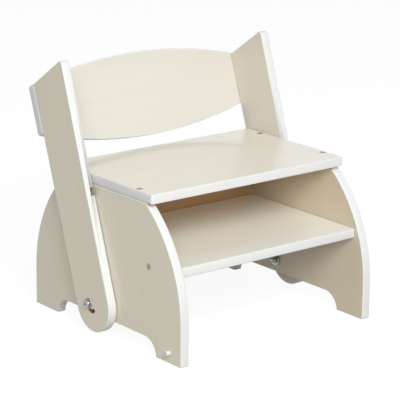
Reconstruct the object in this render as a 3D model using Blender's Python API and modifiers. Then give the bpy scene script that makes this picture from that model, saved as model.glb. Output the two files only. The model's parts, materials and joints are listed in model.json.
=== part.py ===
"""Step chair: a four-footed step stool whose back frame flips forward to make the lower step.

The stool is two leg panels, a seat, a shelf for books and a back board. The back frame is two leaning side
planks with round lower ends, joined by a bowed backrest board. One bolt on each side runs in a curved slot near
the foot of a plank, so the frame swings over the seat until the planks lie on the floor in front. There a groove
in each plank drops over a peg on the stool's front foot. A second peg behind each plank stops it leaning back.

Metres, +Z up, the sitter faces -Y. The origin is on the floor under the middle of the stool.
"""
import math

import bmesh
import bpy
from mathutils import Matrix, Vector

# Boards and fits
overall_width = 0.3480
ply = 0.0127
edge_round = 0.0014
side_gap = 0.0010
fit_gap = 0.0003
cut_overrun = 0.0020

# Stool: the leg panels are the same to the front and the rear
seat_height = 0.2108
seat_depth = 0.1984
seat_corner_round = 0.0035
foot_spread = 0.3208
foot_length = 0.0513
toe_round = 0.0015
arch_height = 0.0219
arch_radius = 0.0244
shin_height = 0.0505
haunch_setback = 0.0738
shelf_height = 0.1227
shelf_setback = 0.0195
back_board_setback = 0.2339
shelf_rear_gap = 0.0012

# Back frame: the plank's lengths run up its front edge from the level of its pivot
lean = math.radians(18.65)
plank_foot = -0.04215
pivot_height = 0.0385
lobe_radius = 0.0358
lobe_drop = -0.0004
nose_length = 0.3205
plank_top_width = 0.0744
plank_top_fall = math.radians(16.1)
nose_round = 0.0050
rear_corner_round = 0.0030
backrest_height = 0.1153
backrest_drop = 0.0014
backrest_bow = 0.0245
backrest_corner_round = 0.0050

# Pivot bolt and what is on it
bolt_offset = 0.0075
bolt_rise_angle = math.radians(10)
bolt_diameter = 0.0048
bolt_head_diameter = 0.0114
bolt_head_height = 0.0034
bolt_head_rings = 4
bolt_tail = 0.0010
recess_span = 0.0058
recess_width = 0.0012
recess_depth = 0.0018
head_washer_diameter = 0.0150
nut_washer_diameter = 0.0172
washer_thickness = 0.0016
spacer_diameter = 0.0140
spacer_thickness = 0.0006
nut_across_flats = 0.0095
nut_height = 0.0062
nut_body_height = 0.0046
nut_collar_diameter = 0.0082
nut_chamfer = 0.0005
slot_clearance = 0.0003
slot_spare_angle = math.radians(31.5)

# Pegs
peg_diameter = 0.0068
peg_reach = 0.0054
peg_depth = 0.0080
peg_chamfer = 0.0006
latch_peg_setback = 0.0243
latch_peg_height = 0.0136
groove_depth = 0.0063
stop_peg_length = 0.1150

# Wood screws
screw_head_diameter = 0.0083
screw_head_depth = 0.0029
screw_diameter = 0.0040
screw_length = 0.0380
screw_tip = 0.0030
seat_screw_inset = 0.0338
shelf_screw_front = 0.0474
shelf_screw_rear = 0.0400
back_screw_low = 0.0105
back_screw_high = 0.0170
rest_screw_inset = 0.0160

# How finely round things are faceted and welded
arc_step = math.radians(6)
turn_steps = 20
shank_steps = 14
hex_sides = 6
sharp_angle = math.radians(30)
weld_distance = 0.00001

# Finishes: colour, roughness and metallic value
finishes = {
    "lacquered_ply": ((0.80, 0.76, 0.68, 1.0), 0.35, 0.0),
    "dowel": ((0.84, 0.80, 0.73, 1.0), 0.45, 0.0),
    "zinc": ((0.62, 0.63, 0.65, 1.0), 0.30, 1.0),
}

# Places worked out from the sizes above
sides = {"left": -1, "right": 1}
outer_face = overall_width / 2
plank_inner_face = outer_face - ply
leg_outer_face = plank_inner_face - side_gap
leg_inner_face = leg_outer_face - ply
seat_underside = seat_height - ply
shelf_underside = shelf_height - ply
toe = -foot_spread / 2
shelf_front = toe + shelf_setback
back_board_front = toe + back_board_setback
swing = math.pi / 2 + lean
edge_up = Vector((math.sin(lean), math.cos(lean)))
edge_back = Vector((math.cos(lean), -math.sin(lean)))

# The pivot is as far behind the plank's front edge as above the floor, so that the edge comes down flat on it
pivot = Vector((plank_foot + pivot_height * (math.tan(lean) + 1 / math.cos(lean)), pivot_height))
bolt = pivot + Vector((math.cos(bolt_rise_angle), math.sin(bolt_rise_angle))) * bolt_offset
latch_peg = Vector((toe + latch_peg_setback, latch_peg_height))


def clear_scene():
    """Take every object out of the open file."""
    for thing in list(bpy.data.objects):
        bpy.data.objects.remove(thing, do_unlink=True)


def new_collection(name):
    """A collection under the scene's own."""
    group = bpy.data.collections.new(name)
    bpy.context.scene.collection.children.link(group)
    return group


def new_material(name, finish):
    """A plain Principled material of one of the finishes."""
    colour, roughness, metallic = finishes[finish]
    material = bpy.data.materials.new(name)
    material.use_nodes = True
    shader = material.node_tree.nodes["Principled BSDF"]
    shader.inputs["Base Color"].default_value = colour
    shader.inputs["Roughness"].default_value = roughness
    shader.inputs["Metallic"].default_value = metallic
    return material


def on_plank(along, back):
    """The side view's (y, z) point at a length up the plank from the pivot and a distance behind it."""
    return pivot + edge_up * along + edge_back * back


def arc(centre, radius, start, end):
    """Points along an arc, both ends included."""
    count = max(2, math.ceil(abs(end - start) / arc_step))
    angles = [start + (end - start) * step / count for step in range(count + 1)]
    return [Vector((centre[0] + radius * math.cos(a), centre[1] + radius * math.sin(a))) for a in angles]


def rounded_corner(before, corner, after, radius):
    """The arc that rounds one corner of an outline."""
    before, corner, after = Vector(before), Vector(corner), Vector(after)
    inward = (before - corner).normalized()
    outward = (after - corner).normalized()
    half = inward.angle(outward) / 2
    centre = corner + (inward + outward).normalized() * (radius / math.sin(half))
    first = corner + inward * (radius / math.tan(half)) - centre
    last = corner + outward * (radius / math.tan(half)) - centre
    start = math.atan2(first.y, first.x)
    turn = math.atan2(first.x * last.y - first.y * last.x, first.dot(last))
    return arc(centre, radius, start, start + turn)


def rectangle(left, right, low, high):
    """The four corners of a rectangle, anticlockwise."""
    return [Vector((left, low)), Vector((right, low)), Vector((right, high)), Vector((left, high))]


def capsule(path, half_width):
    """The outline of a slot with round ends along a path of points."""
    left, right = [], []
    for i, point in enumerate(path):
        along = (path[min(i + 1, len(path) - 1)] - path[max(i - 1, 0)]).normalized()
        side = Vector((-along.y, along.x)) * half_width
        left.append(point + side)
        right.append(point - side)
    out = path[-1] - path[-2]
    back = path[0] - path[1]
    far = math.atan2(out.y, out.x)
    near = math.atan2(back.y, back.x)
    quarter = math.pi / 2
    far_end = arc(path[-1], half_width, far - quarter, far + quarter)
    near_end = arc(path[0], half_width, near - quarter, near + quarter)
    return right[1:-1] + far_end + left[-2:0:-1] + near_end


def side_place(x):
    """Stands an outline of (y, z) points in the plane at x."""
    return Matrix.Translation((x, 0, 0)) @ Matrix(((0, 0, 1), (1, 0, 0), (0, 1, 0))).to_4x4()


def flat_place(z):
    """Lays an outline of (x, y) points in the plane at z."""
    return Matrix.Translation((0, 0, z))


def upright_place(y):
    """Stands an outline of (x, z) points in the plane at y."""
    return Matrix.Translation((0, y, 0)) @ Matrix(((1, 0, 0), (0, 0, -1), (0, 1, 0))).to_4x4()


def axis_place(top, axis):
    """Puts a turned solid's top at a point, with its length running along an axis."""
    down = Vector((0, 0, -1))
    return Matrix.Translation(top) @ down.rotation_difference(Vector(axis)).to_matrix().to_4x4()


def tidy_mesh(mesh):
    """Weld a mesh's loose edges and turn its faces outwards."""
    work = bmesh.new()
    work.from_mesh(mesh)
    bmesh.ops.remove_doubles(work, verts=work.verts, dist=weld_distance)
    bmesh.ops.recalc_face_normals(work, faces=work.faces)
    work.to_mesh(mesh)
    work.free()


def evaluated_mesh(thing):
    """The mesh that a curve or a modifier makes, in place of the object that made it."""
    bpy.context.scene.collection.objects.link(thing)
    graph = bpy.context.evaluated_depsgraph_get()
    mesh = bpy.data.meshes.new_from_object(thing.evaluated_get(graph))
    bpy.data.objects.remove(thing, do_unlink=True)
    tidy_mesh(mesh)
    return mesh


def board_mesh(name, outline, thickness, rounding):
    """A board cut to an outline, with its edges rounded over."""
    data = bpy.data.curves.new(name, "CURVE")
    data.dimensions = "2D"
    data.fill_mode = "BOTH"
    data.extrude = thickness / 2 - rounding
    data.bevel_depth = rounding
    data.bevel_resolution = 1
    data.offset = -rounding
    spline = data.splines.new("POLY")
    spline.points.add(len(outline) - 1)
    for point, (u, v) in zip(spline.points, outline):
        point.co = (u, v, 0, 1)
    spline.use_cyclic_u = True
    return evaluated_mesh(bpy.data.objects.new(name, data))


def turned_mesh(name, profile, steps):
    """A solid turned about Z from (radius, height) points that run from the top to the bottom."""
    mesh = bpy.data.meshes.new(name)
    verts = [(r, 0, z) for r, z in profile]
    mesh.from_pydata(verts, [(i, i + 1) for i in range(len(verts) - 1)], [])
    turning = bpy.data.objects.new(name, mesh)
    screw = turning.modifiers.new("turn", "SCREW")
    screw.axis = "Z"
    screw.steps = steps
    screw.render_steps = steps
    screw.use_merge_vertices = True
    screw.merge_threshold = weld_distance
    return evaluated_mesh(turning)


def rod_mesh(name, diameter, length):
    """A plain round rod from its top down."""
    radius = diameter / 2
    return turned_mesh(name, [(0, 0), (radius, 0), (radius, -length), (0, -length)], turn_steps)


def box_mesh(name, size):
    """A box of three sizes about its middle."""
    mesh = bpy.data.meshes.new(name)
    work = bmesh.new()
    bmesh.ops.create_cube(work, size=1)
    bmesh.ops.scale(work, verts=work.verts, vec=size)
    work.to_mesh(mesh)
    work.free()
    return mesh


def add_piece(name, mesh, finish, carrier, place):
    """A named sub-part at its place, carried by the empty of its moving body."""
    piece = bpy.data.objects.new(name, mesh)
    if not mesh.materials:
        mesh.materials.append(new_material(name, finish))
        mesh.shade_smooth()
        mesh.set_sharp_from_angle(angle=sharp_angle)
    parts.objects.link(piece)
    piece.parent = carrier
    piece.matrix_local = Matrix.Translation(-carrier.location) @ place
    return piece


def add_carrier(name, place):
    """An empty that carries the pieces of one moving body."""
    carrier = bpy.data.objects.new(name, None)
    carrier.location = place
    parts.objects.link(carrier)
    return carrier


def shape(piece, name, mesh, place, operation="DIFFERENCE"):
    """Cut a piece with another shape, or join the shape to it."""
    cutter = bpy.data.objects.new(name, mesh)
    cutter.matrix_world = place
    cutter.hide_render = True
    cutter.display_type = "WIRE"
    cutters.objects.link(cutter)
    boolean = piece.modifiers.new(name, "BOOLEAN")
    boolean.operation = operation
    boolean.solver = "EXACT"
    boolean.object = cutter


def lobe_centre():
    """The middle of the plank's round lower end, in the side view."""
    return on_plank(-lobe_drop, lobe_radius - pivot_height)


def plank_corners():
    """The plank's upper corners: its nose, and the rear of its sloping top."""
    nose = on_plank(nose_length, -pivot_height)
    fall = plank_top_width * math.tan(plank_top_fall)
    return nose, on_plank(nose_length - fall, plank_top_width - pivot_height)


def rear_edge():
    """The plank's rear edge: where it leaves the round end, the way up it, and the way out of it."""
    rear_corner = plank_corners()[1]
    reach = rear_corner - lobe_centre()
    direction = math.atan2(reach.y, reach.x) - math.acos(lobe_radius / reach.length)
    out = Vector((math.cos(direction), math.sin(direction)))
    start = lobe_centre() + out * lobe_radius
    return start, (rear_corner - start).normalized(), out


def stop_peg():
    """The place of the peg that a plank's rear edge leans on."""
    start, up, out = rear_edge()
    return start + up * (stop_peg_length + lobe_drop) + out * (peg_diameter / 2 + fit_gap)


def leg_outline():
    """The leg panel's front half from its middle, and the same half turned to the rear."""
    arch_centre_z = arch_height - arch_radius
    arch_reach = math.sqrt(arch_radius ** 2 - arch_centre_z ** 2)
    arch_centre = (toe + foot_length + arch_reach, arch_centre_z)
    foot_angle = math.atan2(-arch_centre_z, -arch_reach)
    top = seat_underside - fit_gap
    haunch_turn = 2 * math.atan2(haunch_setback, top - shin_height)
    haunch_radius = (top - shin_height) / math.sin(haunch_turn)
    half = arc(arch_centre, arch_radius, math.pi / 2, foot_angle)
    half += rounded_corner(half[-1], (toe, 0), (toe, shin_height), toe_round)
    half += arc((toe + haunch_radius, shin_height), haunch_radius, math.pi, math.pi - haunch_turn)
    return half + [Vector((-y, z)) for y, z in reversed(half)]


def plank_outline():
    """A leaning plank with a round lower end and a sloping top."""
    nose, rear_corner = plank_corners()
    start, up, out = rear_edge()
    front_angle = math.atan2(-edge_back.y, -edge_back.x)
    rear_angle = math.atan2(out.y, out.x)
    lobe = arc(lobe_centre(), lobe_radius, front_angle - math.tau, rear_angle)
    rear = rounded_corner(start, rear_corner, nose, rear_corner_round)
    front = rounded_corner(rear_corner, nose, on_plank(0, -pivot_height), nose_round)
    return lobe + rear + front


def slot_outline():
    """The curved slot that the bolt runs in as the frame swings, with some travel to spare."""
    path = arc(pivot, bolt_offset, bolt_rise_angle - swing - slot_spare_angle, bolt_rise_angle)
    return capsule(path, bolt_diameter / 2 + slot_clearance)


def groove_outline():
    """The groove that drops over the latch peg, wide enough for the peg's path about the pivot."""
    seated = Vector((pivot.x - latch_peg.x, latch_peg.y - pivot_height))
    mouth = math.sqrt(seated.length_squared - pivot_height ** 2)
    reach = peg_diameter / 2 + fit_gap
    low, high = mouth - reach, seated.x + reach
    half_width = (high - low) / 2
    middle = (high + low) / 2
    inner = on_plank(middle, seated.y)
    outer = on_plank(middle, -pivot_height - cut_overrun - half_width)
    return capsule([inner, outer], half_width)


def screw_profile(clearance):
    """A countersunk wood screw's profile, or its hole's where a clearance is given."""
    head = screw_head_diameter / 2 + clearance
    shank = screw_diameter / 2 + clearance
    length = screw_length + clearance
    points = [(0, 0), (head, 0), (shank, -screw_head_depth), (shank, screw_tip - length), (0, -length)]
    if clearance:
        points[:2] = [(0, cut_overrun), (head, cut_overrun), (head, -clearance)]
    return points


def add_screws(places, holders, carrier):
    """Like screws, each with its own name, and their holes in every board that they pass through."""
    sunk = Matrix.Translation((0, 0, -fit_gap))
    solid = turned_mesh("wood_screw", screw_profile(0), shank_steps)
    hole = turned_mesh("screw_hole", screw_profile(fit_gap), shank_steps)
    for name, place in places.items():
        add_piece(name, solid, "zinc", carrier, place @ sunk)
        side = name.split("_")[0]
        for holder in holders:
            if not holder.name.startswith(tuple(sides)) or holder.name.startswith(side):
                shape(holder, name + "_hole_in_" + holder.name, hole, place)


def add_leg_panels(stool):
    """The two leg panels, with the holes for their bolt and pegs."""
    outline_mesh = board_mesh("leg_panel", leg_outline(), ply, edge_round)
    bore = rod_mesh("bolt_bore", bolt_diameter + fit_gap * 2, ply + cut_overrun * 2)
    socket = rod_mesh("peg_socket", peg_diameter + fit_gap * 2, peg_depth + cut_overrun)
    panels = []
    for label, side in sides.items():
        place = side_place(side * (leg_outer_face - ply / 2))
        panel = add_piece(label + "_leg_panel", outline_mesh, "lacquered_ply", stool, place)
        inward = (-side, 0, 0)
        mouth = side * (leg_outer_face + cut_overrun)
        shape(panel, label + "_bolt_bore", bore, axis_place((mouth, *bolt), inward))
        shape(panel, label + "_latch_socket", socket, axis_place((mouth, *latch_peg), inward))
        shape(panel, label + "_stop_socket", socket, axis_place((mouth, *stop_peg()), inward))
        panels.append(panel)
    return panels


def add_boards(stool):
    """The seat, the shelf and the back board."""
    half_seat = seat_depth / 2
    corners = rectangle(-leg_outer_face, leg_outer_face, -half_seat, half_seat)
    seat_outline = []
    for i, corner in enumerate(corners):
        seat_outline += rounded_corner(corners[i - 1], corner, corners[(i + 1) % len(corners)], seat_corner_round)
    half = leg_inner_face - fit_gap
    shelf_outline = rectangle(-half, half, shelf_front, back_board_front - shelf_rear_gap)
    back_outline = rectangle(-half, half, shelf_underside, seat_underside - fit_gap)
    boards = (
        ("seat_board", seat_outline, flat_place(seat_height - ply / 2)),
        ("shelf_board", shelf_outline, flat_place(shelf_height - ply / 2)),
        ("back_board", back_outline, upright_place(back_board_front + ply / 2)),
    )
    made = []
    for name, outline, place in boards:
        made.append(add_piece(name, board_mesh(name, outline, ply, edge_round), "lacquered_ply", stool, place))
    return made


def add_stool_screws(panels, boards, stool):
    """The screws that hold the stool's boards to its leg panels."""
    seat, shelf, back = boards
    seat_row = seat_depth / 2 - seat_screw_inset
    shelf_middle = shelf_height - ply / 2
    back_middle = back_board_front + ply / 2
    seat_places, shelf_places, back_places = {}, {}, {}
    for label, side in sides.items():
        inward = (-side, 0, 0)
        face = side * leg_outer_face
        over_panel = side * (leg_outer_face - ply / 2)
        for end, y in (("front", -seat_row), ("rear", seat_row)):
            seat_places[f"{label}_{end}_seat_screw"] = axis_place((over_panel, y, seat_height), (0, 0, -1))
        for end, y in (("front", shelf_front + shelf_screw_front), ("rear", back_board_front - shelf_screw_rear)):
            shelf_places[f"{label}_{end}_shelf_screw"] = axis_place((face, y, shelf_middle), inward)
        for end, z in (("lower", shelf_underside + back_screw_low), ("upper", seat_underside - back_screw_high)):
            back_places[f"{label}_{end}_back_screw"] = axis_place((face, back_middle, z), inward)
    add_screws(seat_places, [seat] + panels, stool)
    add_screws(shelf_places, [shelf] + panels, stool)
    add_screws(back_places, [back] + panels, stool)


def add_pegs(stool):
    """The latch pegs and the stop pegs, which stand out of the leg panels."""
    radius = peg_diameter / 2
    length = peg_reach + peg_depth - fit_gap
    profile = [(0, 0), (radius - peg_chamfer, 0), (radius, -peg_chamfer), (radius, -length), (0, -length)]
    dowel = turned_mesh("peg", profile, turn_steps)
    for label, side in sides.items():
        end = side * (leg_outer_face + peg_reach)
        for kind, point in (("latch", latch_peg), ("stop", stop_peg())):
            add_piece(f"{label}_{kind}_peg", dowel, "dowel", stool, axis_place((end, *point), (-side, 0, 0)))


def bolt_profile():
    """A pan-headed bolt, from the crown of its head to its chamfered tail."""
    head = bolt_head_diameter / 2
    shank = bolt_diameter / 2
    turns = [math.pi / 2 * (i + 1) / bolt_head_rings for i in range(bolt_head_rings)]
    crown = [(head * math.sin(turn), -bolt_head_height * (1 - math.cos(turn))) for turn in turns]
    boards = ply * 2 + side_gap
    length = bolt_head_height + fit_gap * 4 + washer_thickness * 2 + boards + nut_height + bolt_tail
    tail = [(shank, peg_chamfer - length), (shank - peg_chamfer, -length), (0, -length)]
    return [(0, 0)] + crown + [(shank, -bolt_head_height)] + tail


def washer_mesh(name, diameter, thickness):
    """A flat washer from its top face down, as a turned ring."""
    outer = diameter / 2
    inner = bolt_diameter / 2 + fit_gap
    ring = [(inner, 0), (outer, 0), (outer, -thickness), (inner, -thickness), (inner, 0)]
    return turned_mesh(name, ring, turn_steps)


def nut_mesh():
    """A hexagon nut's body with chamfered rims, from its top face down."""
    corner = nut_across_flats / 2 / math.cos(math.pi / hex_sides)
    mesh = bpy.data.meshes.new("nut_body")
    work = bmesh.new()
    bmesh.ops.create_cone(work, cap_ends=True, segments=hex_sides, radius1=corner, radius2=corner,
                          depth=nut_body_height)
    bmesh.ops.translate(work, verts=work.verts, vec=(0, 0, -nut_body_height / 2))
    rim = [edge for edge in work.edges if abs(edge.verts[0].co.z - edge.verts[1].co.z) < weld_distance]
    bmesh.ops.bevel(work, geom=rim, offset=nut_chamfer, affect="EDGES", segments=1, profile=0.5, material=-1)
    work.to_mesh(mesh)
    work.free()
    return mesh


def add_pivot_hardware(stool):
    """On each side: a bolt, its head washer, a spacer between the boards, a nut washer and a lock nut."""
    shank = turned_mesh("pivot_bolt", bolt_profile(), turn_steps)
    head_washer = washer_mesh("head_washer", head_washer_diameter, washer_thickness)
    nut_washer = washer_mesh("nut_washer", nut_washer_diameter, washer_thickness)
    spacer = washer_mesh("spacer", spacer_diameter, spacer_thickness)
    nut_body = nut_mesh()
    collar_overlap = nut_chamfer * 2
    collar = rod_mesh("collar", nut_collar_diameter, nut_height - nut_body_height + collar_overlap)
    bore = rod_mesh("nut_bore", bolt_diameter + fit_gap * 2, nut_height + cut_overrun * 2)
    cross = (box_mesh("recess_across", (recess_span, recess_width, recess_depth * 2)),
             box_mesh("recess_along", (recess_width, recess_span, recess_depth * 2)))
    head_top = outer_face + fit_gap * 2 + washer_thickness + bolt_head_height
    nut_top = leg_inner_face - fit_gap * 2 - washer_thickness
    stack = {
        "head_washer": (head_washer, outer_face + fit_gap + washer_thickness),
        "spacer_washer": (spacer, plank_inner_face - (side_gap - spacer_thickness) / 2),
        "nut_washer": (nut_washer, leg_inner_face - fit_gap),
    }
    for label, side in sides.items():
        def at(x):
            return axis_place((side * x, *bolt), (-side, 0, 0))
        bolt_piece = add_piece(label + "_pivot_bolt", shank, "zinc", stool, at(head_top))
        for mesh in cross:
            shape(bolt_piece, label + "_" + mesh.name, mesh, at(head_top))
        for name, (mesh, x) in stack.items():
            add_piece(f"{label}_{name}", mesh, "zinc", stool, at(x))
        nut = add_piece(label + "_lock_nut", nut_body, "zinc", stool, at(nut_top))
        shape(nut, label + "_nut_collar", collar, at(nut_top - nut_body_height + collar_overlap), "UNION")
        shape(nut, label + "_nut_bore", bore, at(nut_top + cut_overrun))


def add_planks(frame):
    """The two side planks, each with its curved slot and its groove for the latch peg."""
    outline_mesh = board_mesh("side_plank", plank_outline(), ply, edge_round)
    slot = board_mesh("slot", slot_outline(), ply + cut_overrun * 2, 0)
    groove = board_mesh("groove", groove_outline(), groove_depth + cut_overrun, 0)
    groove_middle = plank_inner_face + (groove_depth - cut_overrun) / 2
    planks = []
    for label, side in sides.items():
        middle = side_place(side * (outer_face - ply / 2))
        plank = add_piece(label + "_side_plank", outline_mesh, "lacquered_ply", frame, middle)
        shape(plank, label + "_slot", slot, middle)
        shape(plank, label + "_groove", groove, side_place(side * groove_middle))
        planks.append(plank)
    return planks


def backrest_place():
    """The backrest's own plane: X across, Y up from the planks' rear top corners, Z out of its front face."""
    start, up, out = rear_edge()
    middle = plank_corners()[1] + out * (fit_gap + ply / 2)
    axes = Matrix(((1, 0, 0), (0, up.x, -out.x), (0, up.y, -out.y))).to_4x4()
    return Matrix.Translation((0, *middle)) @ axes


def backrest_outline():
    """A board whose long edges bow outwards, with small round corners."""
    half = outer_face
    radius = (half ** 2 + backrest_bow ** 2) / (backrest_bow * 2)
    spread = math.asin(half / radius)
    quarter = math.pi / 2
    high = backrest_bow - backrest_drop
    low = high - backrest_height
    top = arc((0, high - radius), radius, quarter - spread, quarter + spread)
    bottom = arc((0, low + radius), radius, -quarter - spread, -quarter + spread)
    outline = []
    for run, other in ((bottom, top), (top, bottom)):
        outline += rounded_corner(other[-1], run[0], run[1], backrest_corner_round)
        outline += [point for point in run[1:-1] if abs(point.x) < half - backrest_corner_round * 2]
        outline += rounded_corner(run[-2], run[-1], other[0], backrest_corner_round)
    return outline


def add_backrest(planks, frame):
    """The backrest board and the screws that hold it to the planks' rear edges."""
    place = backrest_place()
    rest = add_piece("backrest_board", board_mesh("backrest", backrest_outline(), ply, edge_round),
                     "lacquered_ply", frame, place)
    forward = place.to_3x3() @ Vector((0, 0, 1))
    end_top = -backrest_drop
    end_bottom = end_top - backrest_height + backrest_bow * 2
    rows = {"lower": end_bottom + rest_screw_inset, "upper": end_top - rest_screw_inset}
    places = {}
    for label, side in sides.items():
        for end, row in rows.items():
            head = place @ Vector((side * (outer_face - ply / 2), row, -ply / 2))
            places[f"{label}_{end}_backrest_screw"] = axis_place(head, forward)
    add_screws(places, [rest] + planks, frame)


def main():
    """Build the stool, then the back frame on it."""
    stool = add_carrier("stool", (0, 0, 0))
    frame = add_carrier("back_frame", (0, *pivot))
    panels = add_leg_panels(stool)
    boards = add_boards(stool)
    add_stool_screws(panels, boards, stool)
    add_pegs(stool)
    add_pivot_hardware(stool)
    planks = add_planks(frame)
    add_backrest(planks, frame)


clear_scene()
parts = new_collection("step_chair")
cutters = new_collection("step_chair_cutters")
main()
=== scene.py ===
"""A child's step chair in pale plywood with white edges: its boards, fittings, finishes and studio."""
import json
import math

import bmesh
import bpy
from bpy.props import FloatProperty, FloatVectorProperty, IntProperty, PointerProperty
from mathutils import Matrix, Vector


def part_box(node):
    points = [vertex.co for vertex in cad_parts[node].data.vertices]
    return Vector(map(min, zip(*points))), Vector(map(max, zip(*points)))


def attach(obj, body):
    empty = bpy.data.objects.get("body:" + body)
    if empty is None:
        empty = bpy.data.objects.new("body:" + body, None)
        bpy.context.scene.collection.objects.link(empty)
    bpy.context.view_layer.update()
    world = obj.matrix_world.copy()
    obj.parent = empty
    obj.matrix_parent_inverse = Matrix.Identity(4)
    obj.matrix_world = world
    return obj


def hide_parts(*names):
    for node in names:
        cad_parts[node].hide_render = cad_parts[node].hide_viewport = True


bl_info = {
    "name": "Step chair",
    "version": (1, 0, 0),
    "blender": (4, 5, 0),
    "location": "3D View > Sidebar > Step chair",
    "description": "Dresses a flip-over step chair in lacquered plywood, white edges and bright fittings",
    "category": "Object",
}

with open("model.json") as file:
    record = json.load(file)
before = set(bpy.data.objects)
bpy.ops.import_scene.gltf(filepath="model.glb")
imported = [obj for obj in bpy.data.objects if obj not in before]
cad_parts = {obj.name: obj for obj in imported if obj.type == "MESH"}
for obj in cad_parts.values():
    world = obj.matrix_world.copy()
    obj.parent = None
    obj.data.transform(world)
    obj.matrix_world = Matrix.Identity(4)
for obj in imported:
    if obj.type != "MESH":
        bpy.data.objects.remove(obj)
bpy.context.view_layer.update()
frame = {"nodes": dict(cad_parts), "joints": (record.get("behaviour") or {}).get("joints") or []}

SIDES = {"left": -1, "right": 1}
QUARTER = math.pi / 2
STOOL = "stool"
BACK_FRAME = "back_frame"

# A board's material slots, the last for the face turned inside, with shade painted in, and the axes that
# boards are thin along
FACE, EDGE, BARE, PAINTED_SHADE_SLOT = range(4)
Y, Z = 1, 2

# How far apart an outline's ends may lie if it counts as closed, and which points are merged into one
CLOSED_WITHIN = 0.00035
OUTLINE_MERGE = 0.000035
TURNED_MERGE = 0.000005

# The least share of a broad face's normal along its axis, and how far a cutter stands out of what it cuts
BROAD = 0.999
CUTTER_RISE = 0.001

SENSOR_WIDTH = 36
WHITE = (1.0, 1.0, 1.0)
FLOOR_DROP = 0.0002

# Each lamp's turn to the right of the front and its height, both in degrees, and its width
LAMPS = {"key": (-15, 38, 1.2), "low": (-15, 28, 1.2), "left": (-40, 28, 1.2), "right": (30, 40, 2.0)}


def length(name, default, words):
    """A property that holds a length in metres."""
    return FloatProperty(name=name, description=words, default=default, unit="LENGTH", precision=5)


def turn(name, degrees, words):
    """A property that holds an angle."""
    return FloatProperty(name=name, description=words, default=math.radians(degrees), unit="ROTATION")


def tint(name, default, words):
    """A property that holds a colour."""
    return FloatVectorProperty(name=name, description=words, default=default, subtype="COLOR", size=3, min=0,
                               max=1)


def share(name, default, words):
    """A property that holds a number between none and all."""
    return FloatProperty(name=name, description=words, default=default, min=0, max=1)


def power(name, default, words):
    """A property that holds a lamp's power."""
    return FloatProperty(name=name, description=words, default=default, unit="POWER")


def count(name, default, words):
    """A property that holds a whole number."""
    return IntProperty(name=name, description=words, default=default)


class BoardSizes(bpy.types.PropertyGroup):
    """Sizes that all the boards share"""
    edge_round: length("Edge round", 0.0014, "Radius of the round-over along every board's edges")
    edge_steps: count("Edge steps", 4, "Facets across each round-over")
    hole_gap: length("Hole gap", 0.0003, "Gap round each fitting in its hole")
    arc_step: turn("Arc step", 2.5, "Turn between two points of a curved outline")
    corner_steps: count("Corner steps", 6, "Facets round a seat corner")


class LegSizes(bpy.types.PropertyGroup):
    """Outline of the leg panels"""
    toe_round: length("Toe round", 0.0020, "Radius at the foot's outer corner")
    foot_length: length("Foot length", 0.0513, "Length of each foot on the floor")
    arch_height: length("Arch height", 0.0219, "Height of the straight edge between the feet")
    arch_radius: length("Arch radius", 0.0244, "Radius of the arch beside each foot")
    shin_height: length("Shin height", 0.0505, "Height at which the upright edge starts to curve")
    haunch_setback: length("Haunch setback", 0.0738, "How far the curved edges come in at the seat")
    seat_corner: length("Seat corner", 0.0035, "Radius of the seat's corners")


class PlankSizes(bpy.types.PropertyGroup):
    """Outline of the side planks and the backrest"""
    lean: turn("Lean", 18.65, "Lean of the planks' front edges")
    lobe_radius: length("Lobe radius", 0.0358, "Radius of the plank's round lower end")
    lobe_rise: length("Lobe rise", 0.0004, "How far the round end's middle lies above the pivot")
    nose_length: length("Nose length", 0.3205, "Length of the front edge above the pivot")
    top_width: length("Top width", 0.0744, "Width of the plank at its top")
    top_fall: turn("Top fall", 16.1, "Slope of the plank's top edge against square")
    nose_round: length("Nose round", 0.0050, "Radius at the plank's nose")
    rear_round: length("Rear round", 0.0030, "Radius at the top's rear corner")
    rest_height: length("Backrest height", 0.1153, "Height of the backrest in its middle")
    rest_drop: length("Backrest drop", 0.0014, "How far its ends lie below the planks' rear top corners")
    rest_bow: length("Backrest bow", 0.0245, "How far the backrest's long edges bow out")
    rest_corner: length("Backrest corner", 0.0050, "Radius of the backrest's corners")
    rest_gap: length("Backrest gap", 0.00025, "Gap between the backrest and the planks")


class FittingSizes(bpy.types.PropertyGroup):
    """Sizes of the slot, the groove, the pegs and the metal fittings"""
    bolt_offset: length("Bolt offset", 0.0075, "Radius of the curved slot about the pivot")
    bolt_diameter: length("Bolt diameter", 0.0048, "Diameter of the bolt's shank")
    slot_width: length("Slot width", 0.0054, "Width of the curved slot")
    bolt_rise: turn("Bolt rise", 10, "Height of the bolt over the pivot, as a turn about it")
    slot_spare: turn("Slot spare", 31.5, "Turn that the slot runs on past its working travel")
    groove_width: length("Groove width", 0.01035, "Width of the groove that drops over the latch peg")
    groove_height: length("Groove height", 0.1461, "Distance of the groove's middle up the front edge")
    groove_reach: length("Groove reach", 0.0188, "How far the groove runs in from the front edge")
    groove_depth: length("Groove depth", 0.0063, "Depth of the groove from the plank's inner face")
    head_height: length("Head height", 0.0034, "Height of the bolt's pan head")
    recess_span: length("Recess span", 0.0058, "Width across the bolt's cross recess")
    collar_width: length("Collar width", 0.0082, "Diameter of the lock nut's collar")
    peg_round: share("Peg round", 0.22, "Round-over at a peg's outer end, as a share of its radius")
    screw_head: length("Screw head", 0.00415, "Radius of a wood screw's head")
    screw_shank: length("Screw shank", 0.0020, "Radius of a wood screw's shank")
    screw_sink: length("Screw sink", 0.0029, "Height of a wood screw's countersunk head")
    screw_run: length("Screw length", 0.0377, "Length of a wood screw")
    screw_tip: length("Screw tip", 0.0030, "Length of a wood screw's point")
    turn_steps: count("Turn steps", 48, "Facets round each turned fitting")


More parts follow.
